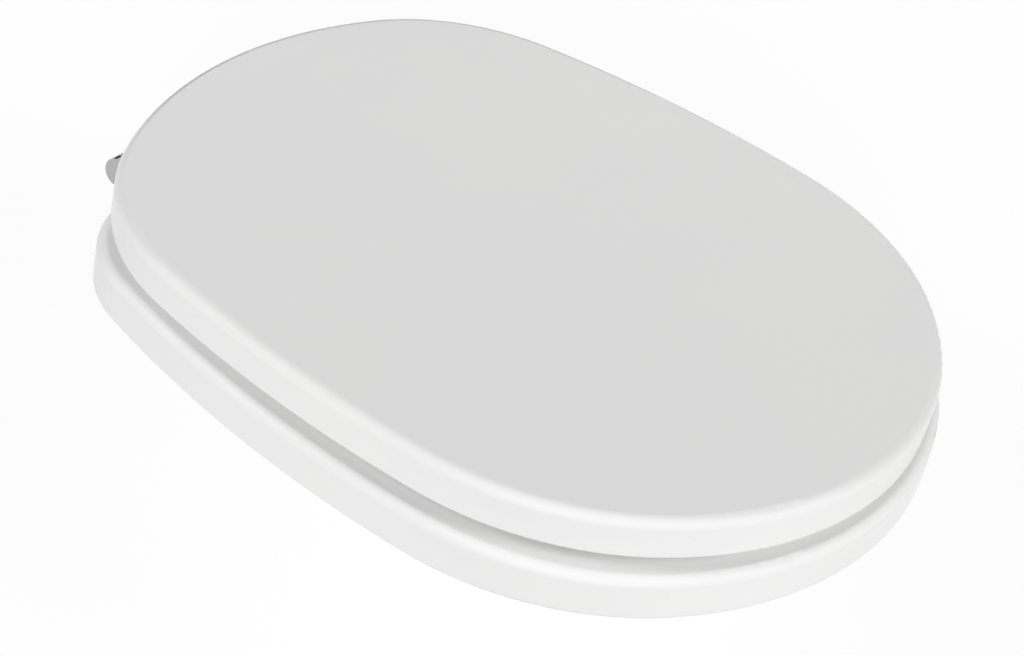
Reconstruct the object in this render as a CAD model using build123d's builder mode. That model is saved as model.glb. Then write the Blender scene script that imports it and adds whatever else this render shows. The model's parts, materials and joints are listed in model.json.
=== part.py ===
"""Slab toilet seat: a lid over a ring on two chrome hinges, with the fixings that clamp it to a bowl.

Millimetres. The origin lies midway between the two fixing studs, on top of the bowl's rim.
-Y is the front of the seat, +Z is up, and left and right are as seen from the front.
"""

import os
from math import atan2, cos, sin, sqrt

from build123d import *

os.makedirs("parts", exist_ok=True)

# Ring
seat_width = 370.0
seat_reach = 410.0  # fixing studs to the tip of the ring
ring_thickness = 24.4
ring_nose_length = 187.2  # tip to the widest station
ring_nose_ratio = 1.09  # nose radius over half the width
ring_shoulder_ratio = 0.836  # shoulder radius over half the width
ring_side_radius = 618.0
ring_corner_radius = 64.0
ring_back_radius = 1500.0
ring_top_rounding = 5.0
ring_bottom_rounding = 1.8

# Opening in the ring
opening_width = 216.0
opening_side_radius = 300.0
front_border = 63.0
back_border = 78.0

# Lid
lid_thickness = 23.0
lid_side_inset = 6.3
lid_front_inset = 5.5
lid_overhang = 10.2  # behind the hinge axis
lid_nose_length = 195.1
lid_nose_ratio = 1.039
lid_shoulder_ratio = 0.885
lid_side_radius = 629.0
lid_corner_radius = 116.2
lid_back_radius = 232.0
lid_top_rounding = 5.5
lid_bottom_rounding = 2.0

# Hinge barrels: the lid's knuckle outside, the post's in the middle, the ring's inside
stud_spacing = 155.0
stud_to_axis = 16.2
knuckle_radius = 8.0
knuckle_drop = 0.6  # top of the barrel below the lid
lid_knuckle_length = 6.0
ring_knuckle_length = 9.7
post_width = 11.0
side_gap = 0.3
end_wall = 2.0
edge_break = 0.8
pin_radius = 3.0
pin_end_gap = 0.3
running_clearance = 0.05
seated_clearance = 0.02
ring_gap = 7.2  # barrel to the ring's back edge

# Hinge leaves
leaf_thickness = 3.0
leaf_width = 24.0
leaf_length = 58.0  # from the hinge axis
leaf_shoulder = 22.0  # from the far end of the leaf to where it narrows
leaf_corner = 5.0
leaf_rounding = 0.8
leaf_screw_inset = 6.0
leaf_screw_pitch = 20.0
neck_reach = 5.6  # behind this the lid's leaf slopes down to its barrel
neck_inset = 1.0  # from the closed end of the lid's knuckle
strap_clearance = 0.8
strap_thickness = 5.0
strap_inset = 2.5
bend_rounding = 5.0

# Hinge posts
foot_radius = 16.0
foot_offset = 9.0  # centre of the foot in front of its stud
foot_thickness = 3.5
foot_rounding = 1.5
boss_radius = 6.5
boss_height = 6.5
boss_rounding = 1.2
stem_clearance = 1.0
stem_width = 9.0
stem_foot_width = 11.0
stem_rounding = 1.2
stem_top_thickness = 6.4
stem_foot_thickness = 3.6
stem_waist = 3.0  # from the barrel down to where the stem's back starts to lean

# Fixings
stud_radius = 4.0
thread_radius = 3.6  # pitch line of the threaded ends
thread_depth = 5.5
thread_clearance = 0.05
stud_length = 65.0
stud_chamfer = 1.0
gasket_thickness = 1.5
gasket_hole_radius = 4.6
bowl_grip = 28.0  # bowl rim between gasket and washer
washer_radius = 12.0
washer_thickness = 4.0
washer_bore_radius = 3.9
spigot_radius = 6.0
spigot_height = 2.0
shank_margin = 1.0  # end of the plain shank above the spigot
nut_height = 14.0
nut_top_radius = 8.0
nut_end_radius = 6.5
wing_span = 34.0
wing_depth = 18.0
wing_thickness = 3.5
wing_corner = 2.0

# Buffers
seat_buffer_height = 9.0
seat_buffer_length = 36.0
seat_buffer_width = 15.0
seat_buffer_angle = {"front": 40.0, "rear": -50.0}
seat_buffer_from_side = {"front": 81.0, "rear": 63.0}
seat_buffer_from_tip = {"front": 80.0, "rear": 352.0}
lid_buffer_height = 5.8
lid_buffer_radius = 9.0
lid_buffer_x = 75.0
lid_buffer_from_tip = 50.0
buffer_rounding = 2.0
buffer_recess = 4.0

# Wood screws
screw_length = 16.0
screw_radius = 2.0
screw_head_radius = 3.75
screw_head_height = 2.0
screw_tip = 3.0
screw_slot_length = 4.4
screw_slot_width = 0.9
screw_slot_depth = 1.1
screw_clearance = 0.05
head_clearance = 0.25
pilot_spare = 1.0

# Levels and stations worked out from the sizes above
ring_bottom = seat_buffer_height
ring_top = ring_bottom + ring_thickness
lid_bottom = ring_top + lid_buffer_height
axis_y = stud_to_axis
axis_z = lid_bottom - knuckle_drop - knuckle_radius
ring_front = -seat_reach
ring_back = axis_y - knuckle_radius - ring_gap
ring_widest = ring_front + ring_nose_length
lid_front = ring_front + lid_front_inset
lid_back = axis_y + lid_overhang
lid_width = seat_width - 2 * lid_side_inset
lid_widest = lid_front + lid_nose_length
lid_leaf_bottom = lid_bottom - leaf_thickness
ring_leaf_bottom = ring_bottom - leaf_thickness
hinge_x = stud_spacing / 2
post_inner = hinge_x - post_width / 2
post_outer = hinge_x + post_width / 2
lid_knuckle_inner = post_outer + side_gap
lid_knuckle_outer = lid_knuckle_inner + lid_knuckle_length
ring_knuckle_outer = post_inner - side_gap
ring_knuckle_inner = ring_knuckle_outer - ring_knuckle_length
neck_inner = lid_knuckle_inner + edge_break
neck_outer = lid_knuckle_outer - neck_inset
strap_inner = ring_knuckle_inner + edge_break
strap_outer = ring_knuckle_outer - strap_inset
lid_bore_depth = lid_knuckle_length - end_wall
running_radius = pin_radius + running_clearance
pin_start = ring_knuckle_inner + pin_end_gap
pin_end = lid_knuckle_inner + lid_bore_depth - pin_end_gap
leaf_far = axis_y - leaf_length
washer_bottom = -bowl_grip - washer_thickness
stud_top = gasket_thickness + thread_depth - thread_clearance
shank_end = spigot_height + shank_margin - bowl_grip
screw_hole_radius = screw_radius + screw_clearance
sides = {"left": -1, "right": 1}


def tangent_centre(first, first_radius, second, second_radius, radius, pick):
    """Centre of the arc that touches two larger arcs from inside; pick is min or max along Y."""
    span = second - first
    reach = first_radius - radius
    along = (reach**2 - (second_radius - radius) ** 2 + span.length**2) / (2 * span.length)
    across = span.normalized().rotate(Axis.Z, 90) * sqrt(reach**2 - along**2)
    middle = first + span.normalized() * along
    return pick((middle + across, middle - across), key=lambda point: point.Y)


def touch(large, large_radius, small):
    """Point where an arc inside a larger one touches it."""
    return large + (small - large).normalized() * large_radius


def mirrored_outline(centres, stations):
    """Face bounded by tangent arcs from station to station on the right, and the same on the left."""
    with BuildSketch() as outline:
        with BuildLine():
            for centre, start, end in zip(centres, stations, stations[1:]):
                bulge = (start + end - centre * 2).normalized() * (start - centre).length
                ThreePointArc(start, centre + bulge, end)
            mirror(about=Plane.YZ)
        make_face()
    return outline.sketch


def slab_outline(
    width, front, back, widest, nose_radius, shoulder_radius, side_radius, corner_radius, back_radius
):
    """Outline of a slab: nose, shoulders, sides, rear corners and back."""
    nose = Vector(0, front + nose_radius)
    side = Vector(width / 2 - side_radius, widest)
    rear = Vector(0, back - back_radius)
    shoulder = tangent_centre(nose, nose_radius, side, side_radius, shoulder_radius, min)
    corner = tangent_centre(side, side_radius, rear, back_radius, corner_radius, max)
    stations = [
        Vector(0, front),
        touch(nose, nose_radius, shoulder),
        touch(side, side_radius, shoulder),
        touch(side, side_radius, corner),
        touch(rear, back_radius, corner),
        Vector(0, back),
    ]
    return mirrored_outline([nose, shoulder, side, corner, rear], stations)


def end_radius(half_width, reach, side_radius):
    """Radius of an oval's end that touches its sides, with the end's tip this far from the widest station."""
    return (side_radius**2 - (side_radius - half_width) ** 2 - reach**2) / (2 * (side_radius - reach))


def oval_outline(width, front, back, widest, side_radius):
    """Outline of an oval: two long sides and two round ends."""
    front_radius = end_radius(width / 2, widest - front, side_radius)
    back_radius = end_radius(width / 2, back - widest, side_radius)
    side = Vector(width / 2 - side_radius, widest)
    fore = Vector(0, front + front_radius)
    rear = Vector(0, back - back_radius)
    stations = [
        Vector(0, front),
        touch(side, side_radius, fore),
        touch(side, side_radius, rear),
        Vector(0, back),
    ]
    return mirrored_outline([fore, side, rear], stations)


ring_outline = slab_outline(
    seat_width,
    ring_front,
    ring_back,
    ring_widest,
    ring_nose_ratio * seat_width / 2,
    ring_shoulder_ratio * seat_width / 2,
    ring_side_radius,
    ring_corner_radius,
    ring_back_radius,
)
lid_outline = slab_outline(
    lid_width,
    lid_front,
    lid_back,
    lid_widest,
    lid_nose_ratio * lid_width / 2,
    lid_shoulder_ratio * lid_width / 2,
    lid_side_radius,
    lid_corner_radius,
    lid_back_radius,
)
opening_outline = oval_outline(
    opening_width,
    ring_front + front_border,
    ring_back - back_border,
    ring_widest,
    opening_side_radius,
)


def leaf_screw_points(sign, outer):
    """Plan positions of a leaf's three screws; outer is the leaf's edge away from the middle."""
    edge = outer - leaf_screw_inset
    inner_edge = outer - leaf_width + leaf_screw_inset
    row = leaf_far + leaf_screw_inset
    return [(sign * edge, row), (sign * inner_edge, row), (sign * edge, row + leaf_screw_pitch)]


lid_leaf_points = [p for s in sides.values() for p in leaf_screw_points(s, neck_outer)]
ring_leaf_points = [p for s in sides.values() for p in leaf_screw_points(s, strap_outer)]
seat_buffer_points = {
    f"{end}_{side}": (sign * (seat_width / 2 - from_side), ring_front + seat_buffer_from_tip[end])
    for end, from_side in seat_buffer_from_side.items()
    for side, sign in sides.items()
}
lid_buffer_points = {
    side: (sign * lid_buffer_x, ring_front + lid_buffer_from_tip) for side, sign in sides.items()
}
leaf_pilot_depth = screw_length - leaf_thickness + pilot_spare
buffer_screw_level = buffer_recess - screw_head_height  # of the head's face, above the buffer's foot
buffer_screw_reach = buffer_screw_level + screw_length
seat_buffer_pilot_depth = buffer_screw_reach - seat_buffer_height + pilot_spare
lid_buffer_pilot_depth = buffer_screw_reach - lid_buffer_height + pilot_spare


def pilot_holes(points, level, depth):
    """Blind holes drilled up into the open part from its underside."""
    with Locations(*[Plane((x, y, level), z_dir=(0, 0, -1)) for x, y in points]):
        Hole(screw_hole_radius, depth)


# Ring
with BuildPart() as seat_ring:
    with BuildSketch(Plane.XY.offset(ring_bottom)):
        add(ring_outline)
        add(opening_outline, mode=Mode.SUBTRACT)
    extrude(amount=ring_thickness)
    fillet(seat_ring.faces().sort_by(Axis.Z)[-1].edges(), ring_top_rounding)
    fillet(seat_ring.faces().sort_by(Axis.Z)[0].edges(), ring_bottom_rounding)
    pilot_holes(ring_leaf_points, ring_bottom, leaf_pilot_depth)
    pilot_holes(seat_buffer_points.values(), ring_bottom, seat_buffer_pilot_depth)
seat_ring.part.label = "seat_ring"
export_step(seat_ring.part, "parts/seat_ring.step")

# Lid
with BuildPart() as lid:
    with BuildSketch(Plane.XY.offset(lid_bottom)):
        add(lid_outline)
    extrude(amount=lid_thickness)
    fillet(lid.faces().sort_by(Axis.Z)[-1].edges(), lid_top_rounding)
    fillet(lid.faces().sort_by(Axis.Z)[0].edges(), lid_bottom_rounding)
    pilot_holes(lid_leaf_points, lid_bottom, leaf_pilot_depth)
    pilot_holes(lid_buffer_points.values(), lid_bottom, lid_buffer_pilot_depth)
lid.part.label = "lid"
export_step(lid.part, "parts/lid.step")

# Pads under the ring, turned to follow its band
for name, (x, y) in seat_buffer_points.items():
    turn = seat_buffer_angle[name.split("_")[0]] * (1 if x > 0 else -1)
    with BuildPart() as seat_buffer:
        with BuildSketch(Plane((x, y, 0)).rotated((0, 0, turn))):
            SlotOverall(seat_buffer_length, seat_buffer_width)
        extrude(amount=seat_buffer_height)
        fillet(seat_buffer.faces().sort_by(Axis.Z)[0].edges(), buffer_rounding)
        with Locations(Plane((x, y, 0), z_dir=(0, 0, -1))):
            CounterBoreHole(screw_hole_radius, screw_head_radius + head_clearance, buffer_recess)
    seat_buffer.part.label = f"seat_buffer_{name}"
    export_step(seat_buffer.part, f"parts/seat_buffer_{name}.step")

# Pads under the lid
for side, (x, y) in lid_buffer_points.items():
    with BuildPart() as lid_buffer:
        with BuildSketch(Plane((x, y, ring_top))):
            Circle(lid_buffer_radius)
        extrude(amount=lid_buffer_height)
        fillet(lid_buffer.faces().sort_by(Axis.Z)[0].edges(), buffer_rounding)
        with Locations(Plane((x, y, ring_top), z_dir=(0, 0, -1))):
            CounterBoreHole(screw_hole_radius, screw_head_radius + head_clearance, buffer_recess)
    lid_buffer.part.label = f"lid_buffer_{side}"
    export_step(lid_buffer.part, f"parts/lid_buffer_{side}.step")

# One countersunk wood screw, point up, with its head's face at Z = 0
with BuildPart() as screw:
    with BuildSketch(Plane.XZ):
        with BuildLine():
            Polyline(
                (0, 0),
                (screw_head_radius, 0),
                (screw_radius, screw_head_height),
                (screw_radius, screw_length - screw_tip),
                (0, screw_length),
                close=True,
            )
        make_face()
    revolve(axis=Axis.Z)
    with BuildSketch():
        Rectangle(screw_slot_length, screw_slot_width)
        Rectangle(screw_slot_width, screw_slot_length)
    extrude(amount=screw_slot_depth, mode=Mode.SUBTRACT)

# The same screw wherever something is screwed to the lid or the ring
screw_rows = {
    "lid_leaf_screws": (lid_leaf_points, lid_leaf_bottom),
    "ring_leaf_screws": (ring_leaf_points, ring_leaf_bottom),
    "seat_buffer_screws": (seat_buffer_points.values(), buffer_screw_level),
    "lid_buffer_screws": (lid_buffer_points.values(), ring_top + buffer_screw_level),
}
for name, (points, level) in screw_rows.items():
    with BuildPart() as screws:
        with Locations(*[(x, y, level) for x, y in points]):
            add(screw.part)
    screws.part.label = name
    export_step(screws.part, f"parts/{name}.step")


def leaf_plate(sign, outer, neck, neck_back, level):
    """Flat of a leaf, in the open part: a wide end narrowing to the neck, with softened edges below."""
    inner = outer - leaf_width
    shoulder = leaf_far + leaf_shoulder
    corners = [
        (outer, neck_back),
        (outer, leaf_far),
        (inner, leaf_far),
        (inner, shoulder),
        (neck, shoulder + neck - inner),
        (neck, neck_back),
    ]
    with BuildSketch(Plane.XY.offset(level)) as plan:
        with BuildLine():
            Polyline(*[(sign * x, y) for x, y in corners], close=True)
        make_face()
        fillet(plan.vertices().sort_by(Axis.Y)[:-2], leaf_corner)
    plate = extrude(plan.sketch, amount=leaf_thickness)
    fillet(plate.faces().sort_by(Axis.Z)[0].edges(), leaf_rounding)


def leaf_holes(sign, outer, level):
    """Countersunk screw holes of a leaf, in the open part."""
    points = leaf_screw_points(sign, outer)
    with Locations(*[Plane((x, y, level), z_dir=(0, 0, -1)) for x, y in points]):
        CounterSinkHole(screw_hole_radius, screw_head_radius + head_clearance)


def side_prism(sign, inner, length, corners):
    """Prism along X, in the open part; each corner of its side view is y, z and a rounding."""
    points = [(y, z) for y, z, rounding in corners]
    with BuildSketch(Plane.YZ.offset(sign * inner)) as section:
        with BuildLine():
            FilletPolyline(*points, radius=[rounding for y, z, rounding in corners], close=True)
        make_face()
    extrude(section.sketch, amount=sign * length)


def barrel(sign, inner, length, radius, rounding=0, mode=Mode.ADD):
    """Cylinder on the hinge axis, in the open part, with both its ends rounded."""
    end = Plane((sign * inner, axis_y, axis_z), x_dir=(sign, 0, 0), z_dir=(0, -sign, 0))
    points = [(0, 0), (0, radius), (length, radius), (length, 0)]
    with BuildSketch(end) as section:
        with BuildLine():
            FilletPolyline(*points, radius=[0, rounding, rounding, 0], close=True)
        make_face()
    revolve(section.sketch, axis=Axis((0, axis_y, axis_z), (1, 0, 0)), mode=mode)


# Side views of the three pieces that share the hinge axis: y, z and the corner's rounding
stem_front = ring_back + stem_clearance
stem_foot = gasket_thickness + foot_thickness / 2
barrel_bottom = axis_z - knuckle_radius
stem_to_axis = axis_y - stem_front
stem_lean = 2 * atan2(knuckle_radius, stem_to_axis)  # of the front face, where it runs on to the barrel
stem_corners = [
    (stem_front, stem_foot, 0),
    (stem_front, barrel_bottom, knuckle_radius),
    (stem_front + stem_to_axis * cos(stem_lean), barrel_bottom + stem_to_axis * sin(stem_lean), 0),
    (axis_y, axis_z, 0),
    (axis_y, barrel_bottom, 0),
    (stem_front + stem_top_thickness, barrel_bottom - stem_waist, bend_rounding),
    (stem_front + stem_foot_thickness, stem_foot, 0),
]
neck_front = axis_y - knuckle_radius - 2 * leaf_thickness
neck_corners = [
    (neck_front, lid_leaf_bottom, 0),
    (neck_front, lid_bottom, 0),
    (axis_y - neck_reach, lid_bottom, 0),
    (axis_y, axis_z + knuckle_radius, 0),
    (axis_y, axis_z, 0),
    (axis_y - knuckle_radius, axis_z, bend_rounding),
]
strap_front = ring_back + strap_clearance
strap_back = strap_front + strap_thickness
strap_corners = [
    (ring_back - leaf_thickness, ring_leaf_bottom, 0),
    (ring_back - leaf_thickness, ring_bottom, 0),
    (strap_front, ring_bottom, 0),
    (strap_front, axis_z - knuckle_radius / 2, bend_rounding),
    (axis_y - knuckle_radius, axis_z, 0),
    (axis_y, axis_z, 0),
    (axis_y, barrel_bottom, 0),
    (strap_back, axis_z - 2 * knuckle_radius, bend_rounding),
    (strap_back, ring_leaf_bottom, leaf_thickness),
]

for side, sign in sides.items():
    # Stem of the post, upright in front of the hinge axis and tapered towards its head
    with BuildPart() as stem:
        side_prism(sign, hinge_x - stem_foot_width / 2, stem_foot_width, stem_corners)
        with BuildSketch(Plane.XZ.shift_origin((sign * hinge_x, 0, 0))):
            with BuildLine():
                Polyline(
                    (-stem_foot_width / 2, 0),
                    (stem_foot_width / 2, 0),
                    (stem_width / 2, lid_bottom),
                    (-stem_width / 2, lid_bottom),
                    close=True,
                )
            make_face()
        extrude(amount=foot_radius, both=True, mode=Mode.INTERSECT)
        flanks = stem.faces().sort_by(Axis.X)
        fillet(flanks[0].edges() + flanks[-1].edges(), stem_rounding)

    # Post: foot, threaded boss, stem and middle knuckle
    with BuildPart() as hinge_post:
        with BuildSketch(Plane.XY.offset(gasket_thickness)):
            with Locations((sign * hinge_x, -foot_offset)):
                Circle(foot_radius)
        extrude(amount=foot_thickness)
        fillet(hinge_post.faces().sort_by(Axis.Z)[-1].edges(), foot_rounding)
        with BuildSketch(Plane.XY.offset(gasket_thickness)):
            with Locations((sign * hinge_x, 0)):
                Circle(boss_radius)
        extrude(amount=boss_height)
        fillet(hinge_post.faces().sort_by(Axis.Z)[-1].edges(), boss_rounding)
        add(stem.part)
        barrel(sign, post_inner, post_width, knuckle_radius, edge_break)
        barrel(sign, post_inner, post_width, pin_radius + seated_clearance, mode=Mode.SUBTRACT)
        with Locations(Plane((sign * hinge_x, 0, gasket_thickness), z_dir=(0, 0, -1))):
            Hole(thread_radius + thread_clearance, thread_depth)
    hinge_post.part.label = f"hinge_post_{side}"
    export_step(hinge_post.part, f"parts/hinge_post_{side}.step")

    # Lid's leaf: plate, neck and outer knuckle, closed at its outer end
    with BuildPart() as lid_leaf:
        leaf_plate(sign, neck_outer, neck_inner, axis_y - knuckle_radius, lid_leaf_bottom)
        leaf_holes(sign, neck_outer, lid_leaf_bottom)
        side_prism(sign, neck_inner, neck_outer - neck_inner, neck_corners)
        barrel(sign, lid_knuckle_inner, lid_knuckle_length, knuckle_radius, edge_break)
        barrel(sign, lid_knuckle_inner, lid_bore_depth, running_radius, mode=Mode.SUBTRACT)
    lid_leaf.part.label = f"lid_leaf_{side}"
    export_step(lid_leaf.part, f"parts/lid_leaf_{side}.step")

    # Ring's leaf: plate under the ring, strap up behind it and inner knuckle
    with BuildPart() as ring_leaf:
        leaf_plate(sign, strap_outer, strap_inner, ring_back, ring_leaf_bottom)
        leaf_holes(sign, strap_outer, ring_leaf_bottom)
        side_prism(sign, strap_inner, strap_outer - strap_inner, strap_corners)
        barrel(sign, ring_knuckle_inner, ring_knuckle_length, knuckle_radius, edge_break)
        barrel(sign, ring_knuckle_inner, ring_knuckle_length, running_radius, mode=Mode.SUBTRACT)
    ring_leaf.part.label = f"ring_leaf_{side}"
    export_step(ring_leaf.part, f"parts/ring_leaf_{side}.step")

    # Pin through the three knuckles, held in the post
    with BuildPart() as hinge_pin:
        barrel(sign, pin_start, pin_end - pin_start, pin_radius)
    hinge_pin.part.label = f"hinge_pin_{side}"
    export_step(hinge_pin.part, f"parts/hinge_pin_{side}.step")

    # Soft disc between the post's foot and the bowl
    with BuildPart() as base_gasket:
        with BuildSketch():
            with Locations((sign * hinge_x, -foot_offset)):
                Circle(foot_radius)
            with Locations((sign * hinge_x, 0)):
                Circle(gasket_hole_radius, mode=Mode.SUBTRACT)
        extrude(amount=gasket_thickness)
    base_gasket.part.label = f"base_gasket_{side}"
    export_step(base_gasket.part, f"parts/base_gasket_{side}.step")

    # Stud: a plain shank through the bowl between two threaded ends
    with BuildPart() as fixing_stud:
        with BuildSketch(Plane.XZ.shift_origin((sign * hinge_x, 0, 0))):
            with BuildLine():
                Polyline(
                    (0, stud_top),
                    (thread_radius, stud_top),
                    (thread_radius, 0),
                    (stud_radius, 0),
                    (stud_radius, shank_end),
                    (thread_radius, shank_end),
                    (thread_radius, stud_chamfer - stud_length),
                    (thread_radius - stud_chamfer, -stud_length),
                    (0, -stud_length),
                    close=True,
                )
            make_face()
        revolve(axis=Axis((sign * hinge_x, 0, 0), (0, 0, 1)))
    fixing_stud.part.label = f"fixing_stud_{side}"
    export_step(fixing_stud.part, f"parts/fixing_stud_{side}.step")

    # Washer under the bowl, with a spigot that centres it in the bowl's hole
    with BuildPart() as clamp_washer:
        with BuildSketch(Plane.XY.offset(washer_bottom)):
            with Locations((sign * hinge_x, 0)):
                Circle(washer_radius)
                Circle(washer_bore_radius, mode=Mode.SUBTRACT)
        extrude(amount=washer_thickness)
        with BuildSketch(Plane.XY.offset(-bowl_grip)):
            with Locations((sign * hinge_x, 0)):
                Circle(spigot_radius)
                Circle(washer_bore_radius, mode=Mode.SUBTRACT)
        extrude(amount=spigot_height)
    clamp_washer.part.label = f"clamp_washer_{side}"
    export_step(clamp_washer.part, f"parts/clamp_washer_{side}.step")

    # Wing nut: a tapered hub and two wings
    with BuildPart() as wing_nut:
        with BuildSketch(Plane((sign * hinge_x, 0, washer_bottom))):
            Circle(nut_top_radius)
        with BuildSketch(Plane((sign * hinge_x, 0, washer_bottom - nut_height))):
            Circle(nut_end_radius)
        loft()
        with BuildSketch(Plane.YZ.offset(sign * hinge_x)) as wings:
            with BuildLine():
                Polyline(
                    (0, washer_bottom - wing_thickness),
                    (nut_end_radius, washer_bottom - wing_thickness),
                    (wing_span / 2, washer_bottom - wing_depth / 2),
                    (wing_span / 2, washer_bottom - wing_depth),
                    (nut_end_radius, washer_bottom - nut_height),
                    (0, washer_bottom - nut_height),
                )
                mirror(about=Plane.YZ)
            make_face()
            fillet(wings.vertices().group_by(Axis.X)[0] + wings.vertices().group_by(Axis.X)[-1], wing_corner)
        extrude(amount=wing_thickness / 2, both=True)
        with Locations((sign * hinge_x, 0, washer_bottom)):
            Hole(thread_radius + thread_clearance, nut_height + wing_depth)
    wing_nut.part.label = f"wing_nut_{side}"
    export_step(wing_nut.part, f"parts/wing_nut_{side}.step")
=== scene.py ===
"""Studio picture of a slab toilet seat: finishes, threads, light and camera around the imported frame."""

import json
from math import cos, pi, radians, sin

import bmesh
import bpy
from mathutils import Matrix, Vector


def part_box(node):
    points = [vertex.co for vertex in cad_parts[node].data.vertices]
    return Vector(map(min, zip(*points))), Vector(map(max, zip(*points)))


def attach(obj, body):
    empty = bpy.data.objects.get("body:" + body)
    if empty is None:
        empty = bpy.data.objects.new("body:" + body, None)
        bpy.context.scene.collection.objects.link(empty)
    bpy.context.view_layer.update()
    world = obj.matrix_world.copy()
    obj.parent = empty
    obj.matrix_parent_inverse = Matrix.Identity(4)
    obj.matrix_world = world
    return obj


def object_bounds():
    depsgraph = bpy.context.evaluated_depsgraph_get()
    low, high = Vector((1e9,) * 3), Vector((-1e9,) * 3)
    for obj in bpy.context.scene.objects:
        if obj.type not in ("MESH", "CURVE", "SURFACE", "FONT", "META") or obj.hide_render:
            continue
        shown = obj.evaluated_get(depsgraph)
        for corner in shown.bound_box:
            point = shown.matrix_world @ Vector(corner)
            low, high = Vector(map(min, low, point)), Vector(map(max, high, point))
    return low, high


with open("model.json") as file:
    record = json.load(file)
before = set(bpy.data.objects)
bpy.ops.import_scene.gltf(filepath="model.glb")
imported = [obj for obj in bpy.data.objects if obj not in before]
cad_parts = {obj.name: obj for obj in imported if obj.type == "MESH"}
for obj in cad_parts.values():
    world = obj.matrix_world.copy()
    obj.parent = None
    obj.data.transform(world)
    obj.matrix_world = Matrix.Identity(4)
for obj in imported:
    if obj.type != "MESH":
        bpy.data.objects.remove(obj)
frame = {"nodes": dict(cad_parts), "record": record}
cad_low, cad_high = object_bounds()
nodes = frame["nodes"]

# Camera, in metres and degrees, with its lens in pixels of the picture
PICTURE_WIDTH = 1024
FOCAL_PIXELS = 2658.2
SENSOR_WIDTH = 36.0  # millimetres
VIEW_AZIMUTH = -62.291
VIEW_ELEVATION = 36.427
VIEW_ROLL = 13.872
VIEW_DISTANCE = 1.2912
VIEW_TARGET = (-0.068101, -0.220365, 0.0622)  # on the lid's top

# Light: soft lamps as strength, azimuth, elevation and spread in degrees
LAMPS = {
    "front_lamp": (2.07, -61.0, 27.0, 24.0),
    "right_lamp": (1.45, 20.0, 27.0, 24.0),
    "left_lamp": (1.06, -136.0, 29.0, 24.0),
    "back_lamp": (1.2, 128.0, 11.0, 24.0),
}
AMBIENT = 0.03
WHITE = 0.985  # of the background, as the camera and reflections see it
FLOOR_SIZE = 12.0
FLOOR_DROP = 0.05  # below the studs, for the lid to swing right over behind
FLOOR_BOUNCE = 0.6
FLOOR_SHADE = 0.12  # the part of the floor's light that shadows can take away
FLOOR_GLOW = 0.897

# Dark flag, seen only in reflections
FLAG_AZIMUTH = 126.0
FLAG_DISTANCE = 0.9
FLAG_CENTRE = 0.1  # height above the origin
FLAG_WIDTH = 1.2
FLAG_HEIGHT = 0.9
FLAG_EDGE = 0.5  # share of its half width over which it fades out
FLAG_SHADE = 0.01

# Stud threads
THREAD_PITCH = 0.00125
THREAD_ROOT = 0.0036
THREAD_CREST = 0.00395
THREAD_SINK = 0.0002  # of the ridge's foot, into the stud
THREAD_FOOT = 0.46  # half the ridge's width at its foot, in pitches
THREAD_FLAT = 0.07  # half the ridge's width at its crest, in pitches
THREAD_STEPS = 24  # per turn
THREAD_RUNOUT = 0.75  # turns
STUD_CHAMFER = 0.001

# Where most of a noise texture's values lie
NOISE_LOW = 0.3
NOISE_HIGH = 0.7


def direction(azimuth, elevation):
    """Unit vector from the object towards azimuth and elevation; azimuth 0 is the front."""
    a, e = radians(azimuth), radians(elevation)
    return Vector((sin(a) * cos(e), -cos(a) * cos(e), sin(e)))


class Finish:
    """A material with one surface shader, and short ways to add and join nodes."""

    def __init__(self, name):
        self.material = bpy.data.materials.new(name)
        self.material.use_nodes = True
        self.tree = self.material.node_tree
        self.shader = self.tree.nodes["Principled BSDF"]
        self.place = self.add("ShaderNodeTexCoord").outputs["Object"]

    def add(self, kind, **inputs):
        node = self.tree.nodes.new(kind)
        for name, value in inputs.items():
            node.inputs[name.replace("_", " ")].default_value = value
        return node

    def join(self, output, target):
        self.tree.links.new(output, target)

    def set(self, **values):
        for name, value in values.items():
            self.shader.inputs[name.replace("_", " ")].default_value = value

    def stretched(self, scale):
        """Object coordinates scaled by a different amount along each axis."""
        mapping = self.add("ShaderNodeMapping", Scale=scale)
        self.join(self.place, mapping.inputs["Vector"])
        return mapping.outputs["Vector"]

    def noise(self, scale, detail, place=None):
        node = self.add("ShaderNodeTexNoise", Scale=scale, Detail=detail)
        self.join(place or self.place, node.inputs["Vector"])
        return node.outputs["Fac"]

    def spread(self, value, low, high):
        """Brings a noise value to the range low to high."""
        node = self.add(
            "ShaderNodeMapRange", From_Min=NOISE_LOW, From_Max=NOISE_HIGH, To_Min=low, To_Max=high
        )
        self.join(value, node.inputs["Value"])
        return node.outputs["Result"]

    def colour(self, value, first, second):
        """Base colour that runs from first to second with a noise value."""
        mix = self.add("ShaderNodeMix")
        mix.data_type = "RGBA"
        mix.inputs["A"].default_value = (*first, 1)
        mix.inputs["B"].default_value = (*second, 1)
        self.join(self.spread(value, 0, 1), mix.inputs["Factor"])
        colour = next(o for o in mix.outputs if o.type == "RGBA")
        self.join(colour, self.shader.inputs["Base Color"])

    def roughness(self, value, low, high):
        self.join(self.spread(value, low, high), self.shader.inputs["Roughness"])

    def relief(self, *layers):
        """Stacks bumps, each a noise value, a height in metres and a strength."""
        normal = None
        for value, height, strength in layers:
            bump = self.add("ShaderNodeBump", Strength=strength, Distance=height)
            self.join(value, bump.inputs["Height"])
            if normal:
                self.join(normal, bump.inputs["Normal"])
            normal = bump.outputs["Normal"]
        self.join(normal, self.shader.inputs["Normal"])
        return normal


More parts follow.
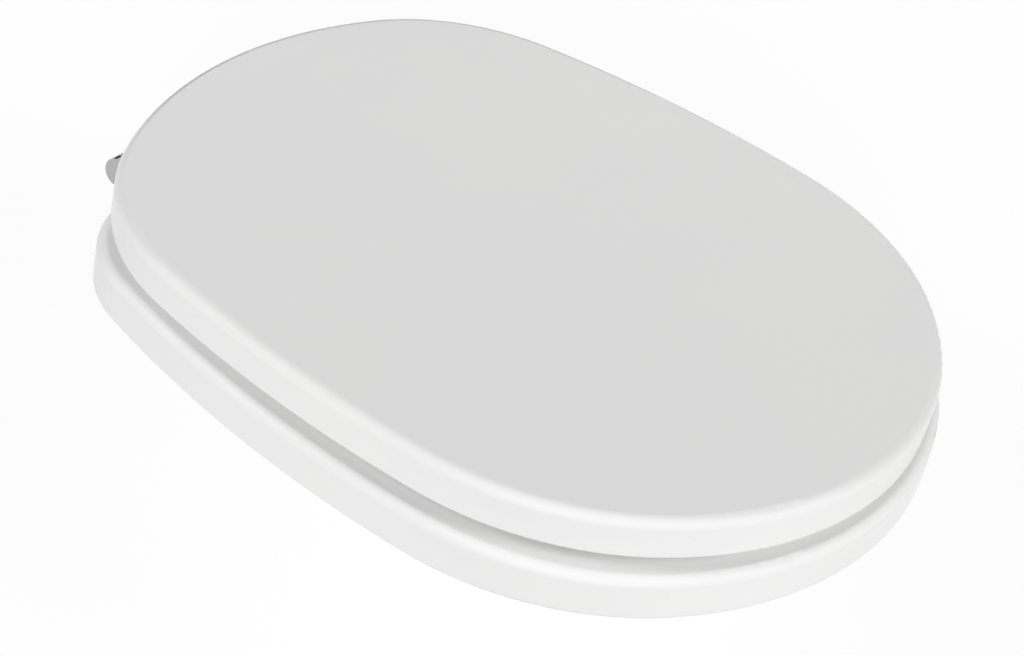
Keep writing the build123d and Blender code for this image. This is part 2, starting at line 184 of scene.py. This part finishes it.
def lacquer(name):
    """White gloss lacquer sprayed on board: orange peel, long soft waves and a hint of mottling."""
    finish = Finish(name)
    mottling = finish.noise(scale=9.0, detail=1.0)
    sheen = finish.noise(scale=45.0, detail=2.0)
    waves = finish.noise(scale=14.0, detail=1.0)
    peel = finish.noise(scale=420.0, detail=2.0)
    finish.colour(mottling, (0.853, 0.854, 0.852), (0.865, 0.865, 0.86))
    finish.roughness(sheen, 0.2, 0.26)
    normal = finish.relief((waves, 0.0006, 0.08), (peel, 0.00012, 0.12))
    finish.join(normal, finish.shader.inputs["Coat Normal"])
    finish.set(Coat_Weight=0.35, Coat_Roughness=0.08, IOR=1.5)
    return finish.material


def chrome():
    """Bright plating with faint polishing haze."""
    finish = Finish("hinge_chrome")
    clouding = finish.noise(scale=60.0, detail=4.0)
    haze = finish.noise(scale=160.0, detail=5.0)
    ripple = finish.noise(scale=220.0, detail=2.0)
    finish.colour(clouding, (0.43, 0.432, 0.44), (0.49, 0.49, 0.495))
    finish.roughness(haze, 0.05, 0.12)
    finish.relief((ripple, 0.00006, 0.12))
    finish.set(Metallic=1.0)
    return finish.material


def steel():
    """Zinc-plated steel, drawn along its length, with fine streaks and dull patches."""
    finish = Finish("fixing_steel")
    patches = finish.noise(scale=140.0, detail=5.0)
    streaks = finish.noise(scale=1.0, detail=4.0, place=finish.stretched((2600.0, 2600.0, 160.0)))
    finish.colour(patches, (0.5, 0.5, 0.49), (0.62, 0.62, 0.61))
    finish.roughness(streaks, 0.29, 0.42)
    finish.relief((streaks, 0.00003, 0.25))
    finish.set(Metallic=1.0)
    return finish.material


def plastic(name, dark, pale, smooth, rough, grain):
    """Moulded plastic: faint flow marks in the colour and an even eroded grain."""
    finish = Finish(name)
    flow = finish.noise(scale=70.0, detail=3.0)
    sheen = finish.noise(scale=300.0, detail=3.0)
    erosion = finish.noise(scale=1500.0, detail=2.0)
    finish.colour(flow, dark, pale)
    finish.roughness(sheen, smooth, rough)
    finish.relief((erosion, grain, 0.3))
    return finish.material


def rubber():
    """Soft grey rubber with bloom on its surface."""
    finish = Finish("gasket_rubber")
    bloom = finish.noise(scale=220.0, detail=6.0)
    sheen = finish.noise(scale=400.0, detail=3.0)
    grain = finish.noise(scale=2400.0, detail=3.0)
    finish.colour(bloom, (0.56, 0.56, 0.545), (0.67, 0.67, 0.65))
    finish.roughness(sheen, 0.62, 0.85)
    finish.relief((grain, 0.00006, 0.4))
    return finish.material


finishes = {
    "lid_lacquer": lacquer("lid_lacquer"),
    "ring_lacquer": lacquer("ring_lacquer"),
    "hinge_chrome": chrome(),
    "fixing_steel": steel(),
    "buffer_plastic": plastic(
        "buffer_plastic",
        dark=(0.82, 0.82, 0.8),
        pale=(0.86, 0.86, 0.845),
        smooth=0.3,
        rough=0.42,
        grain=0.00003,
    ),
    "fixing_plastic": plastic(
        "fixing_plastic",
        dark=(0.75, 0.745, 0.71),
        pale=(0.82, 0.815, 0.79),
        smooth=0.42,
        rough=0.58,
        grain=0.00004,
    ),
    "gasket_rubber": rubber(),
}
slots = {part["node"]: part["material_slot"] for part in frame["record"]["subparts"]}
for name, node in nodes.items():
    node.data.materials.clear()
    node.data.materials.append(finishes[slots[name]])


def stud_thread(name, axis_x, axis_y, low, high):
    """Helical ridge with a V section round a stud, fading into it at both ends."""
    turns = (high - low) / THREAD_PITCH
    steps = int(turns * THREAD_STEPS)
    runout = THREAD_RUNOUT * THREAD_STEPS
    foot = THREAD_ROOT - THREAD_SINK
    mesh = bmesh.new()
    rows = []
    for step in range(steps + 1):
        angle = 2 * pi * step / THREAD_STEPS
        height = low + (high - low) * step / steps
        fade = min(1.0, step / runout, (steps - step) / runout)
        crest = THREAD_ROOT + (THREAD_CREST - THREAD_ROOT) * fade
        section = ((foot, -THREAD_FOOT), (crest, -THREAD_FLAT), (crest, THREAD_FLAT), (foot, THREAD_FOOT))
        rows.append([
            mesh.verts.new((
                axis_x + radius * cos(angle),
                axis_y + radius * sin(angle),
                height + share * THREAD_PITCH,
            ))
            for radius, share in section
        ])
    for row, following in zip(rows, rows[1:]):
        for corner in range(len(row)):
            after = (corner + 1) % len(row)
            mesh.faces.new((row[corner], following[corner], following[after], row[after]))
    mesh.faces.new(rows[0])
    mesh.faces.new(reversed(rows[-1]))
    bmesh.ops.recalc_face_normals(mesh, faces=mesh.faces)
    data = bpy.data.meshes.new(name)
    mesh.to_mesh(data)
    mesh.free()
    data.materials.append(finishes["fixing_steel"])
    piece = bpy.data.objects.new(name, data)
    bpy.context.scene.collection.objects.link(piece)
    return piece


for side in ("left", "right"):
    stud_low, stud_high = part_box(f"fixing_stud_{side}")
    nut_low, nut_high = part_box(f"wing_nut_{side}")
    thread = stud_thread(
        f"stud_thread_{side}",
        axis_x=(stud_low.x + stud_high.x) / 2,
        axis_y=(stud_low.y + stud_high.y) / 2,
        low=stud_low.z + STUD_CHAMFER + THREAD_PITCH / 2,
        high=nut_high.z - THREAD_PITCH,
    )
    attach(thread, "base")


def seen_directly(tree):
    """1 for rays from the camera, a reflection or a clear material, 0 for light on a surface."""
    path = tree.nodes.new("ShaderNodeLightPath")
    total = path.outputs["Is Camera Ray"]
    for ray in ("Is Glossy Ray", "Is Transmission Ray"):
        either = tree.nodes.new("ShaderNodeMath")
        either.operation = "MAXIMUM"
        tree.links.new(total, either.inputs[0])
        tree.links.new(path.outputs[ray], either.inputs[1])
        total = either.outputs[0]
    return total


def grey(tree, level):
    """Matt shader of one grey level."""
    shader = tree.nodes.new("ShaderNodeBsdfDiffuse")
    shader.inputs["Color"].default_value = (level, level, level, 1)
    return shader.outputs["BSDF"]


def blend(tree, share, first, second):
    """Gives the surface the shader first where share is 0, and second where it is 1."""
    choose = tree.nodes.new("ShaderNodeMixShader")
    tree.links.new(share, choose.inputs["Fac"])
    tree.links.new(first, choose.inputs[1])
    tree.links.new(second, choose.inputs[2])
    surface = tree.nodes.new("ShaderNodeOutputMaterial")
    tree.links.new(choose.outputs["Shader"], surface.inputs["Surface"])


def staged_plane(name, corners):
    """One four-sided face round the object, with a node material that is still empty."""
    mesh = bpy.data.meshes.new(name)
    mesh.from_pydata(corners, [], [(0, 1, 2, 3)])
    plane = bpy.data.objects.new(name, mesh)
    bpy.context.scene.collection.objects.link(plane)
    material = bpy.data.materials.new(name)
    material.use_nodes = True
    material.node_tree.nodes.clear()
    mesh.materials.append(material)
    return plane


# Floor, white where it is seen, with the object's shadow left on it
half = FLOOR_SIZE / 2
floor_z = cad_low.z - FLOOR_DROP
floor_corners = [(x, y, floor_z) for x, y in ((-half, -half), (half, -half), (half, half), (-half, half))]
floor = staged_plane("floor", floor_corners)
tree = floor.active_material.node_tree
glow = tree.nodes.new("ShaderNodeEmission")
glow.inputs["Strength"].default_value = FLOOR_GLOW
shaded_glow = tree.nodes.new("ShaderNodeAddShader")
tree.links.new(grey(tree, FLOOR_SHADE), shaded_glow.inputs[0])
tree.links.new(glow.outputs["Emission"], shaded_glow.inputs[1])
blend(tree, seen_directly(tree), grey(tree, FLOOR_BOUNCE), shaded_glow.outputs["Shader"])

# Flag behind the object with soft edges, which gives the chrome something dark to mirror
flag = staged_plane("flag", [(-1, 0, -1), (1, 0, -1), (1, 0, 1), (-1, 0, 1)])
flag.location = direction(FLAG_AZIMUTH, 0) * FLAG_DISTANCE + Vector((0, 0, FLAG_CENTRE))
flag.rotation_euler = (0, 0, radians(FLAG_AZIMUTH))
flag.scale = (FLAG_WIDTH / 2, 1, FLAG_HEIGHT / 2)
flag.visible_camera = False
flag.visible_diffuse = False
flag.visible_shadow = False
tree = flag.active_material.node_tree
place = tree.nodes.new("ShaderNodeTexCoord")
spot = tree.nodes.new("ShaderNodeTexGradient")
spot.gradient_type = "SPHERICAL"
tree.links.new(place.outputs["Object"], spot.inputs["Vector"])
fade = tree.nodes.new("ShaderNodeMapRange")
fade.interpolation_type = "SMOOTHSTEP"
fade.inputs["From Max"].default_value = FLAG_EDGE
tree.links.new(spot.outputs["Fac"], fade.inputs["Value"])
clear = tree.nodes.new("ShaderNodeBsdfTransparent")
blend(tree, fade.outputs["Result"], clear.outputs["BSDF"], grey(tree, FLAG_SHADE))

# World, white where it is seen, with a little light of its own
world = bpy.data.worlds.new("studio")
world.use_nodes = True
tree = world.node_tree
room = tree.nodes.new("ShaderNodeMix")
room.inputs["A"].default_value = AMBIENT
room.inputs["B"].default_value = WHITE
tree.links.new(seen_directly(tree), room.inputs["Factor"])
tree.links.new(room.outputs["Result"], tree.nodes["Background"].inputs["Strength"])
tree.nodes["Background"].inputs["Color"].default_value = (1, 1, 1, 1)
bpy.context.scene.world = world

# Lamps, which reflections don't show
for name, (strength, azimuth, elevation, spread) in LAMPS.items():
    lamp_data = bpy.data.lights.new(name, "SUN")
    lamp_data.energy = strength
    lamp_data.angle = radians(spread)
    lamp = bpy.data.objects.new(name, lamp_data)
    lamp.rotation_euler = direction(azimuth, elevation).to_track_quat("Z", "Y").to_euler()
    lamp.visible_glossy = False
    bpy.context.scene.collection.objects.link(lamp)

# Camera, rolled about its line of sight
target = Vector(VIEW_TARGET)
back = direction(VIEW_AZIMUTH, VIEW_ELEVATION)
right = Vector((0, 0, 1)).cross(back).normalized()
up = back.cross(right)
roll = radians(VIEW_ROLL)
axes = (right * cos(roll) + up * sin(roll), up * cos(roll) - right * sin(roll), back)
camera_data = bpy.data.cameras.new("camera")
camera_data.sensor_width = SENSOR_WIDTH
camera_data.lens = FOCAL_PIXELS * SENSOR_WIDTH / PICTURE_WIDTH
camera = bpy.data.objects.new("camera", camera_data)
camera.matrix_world = Matrix.Translation(target + back * VIEW_DISTANCE) @ Matrix(axes).transposed().to_4x4()
bpy.context.scene.collection.objects.link(camera)
bpy.context.scene.camera = camera
bpy.context.scene.view_settings.view_transform = "Standard"
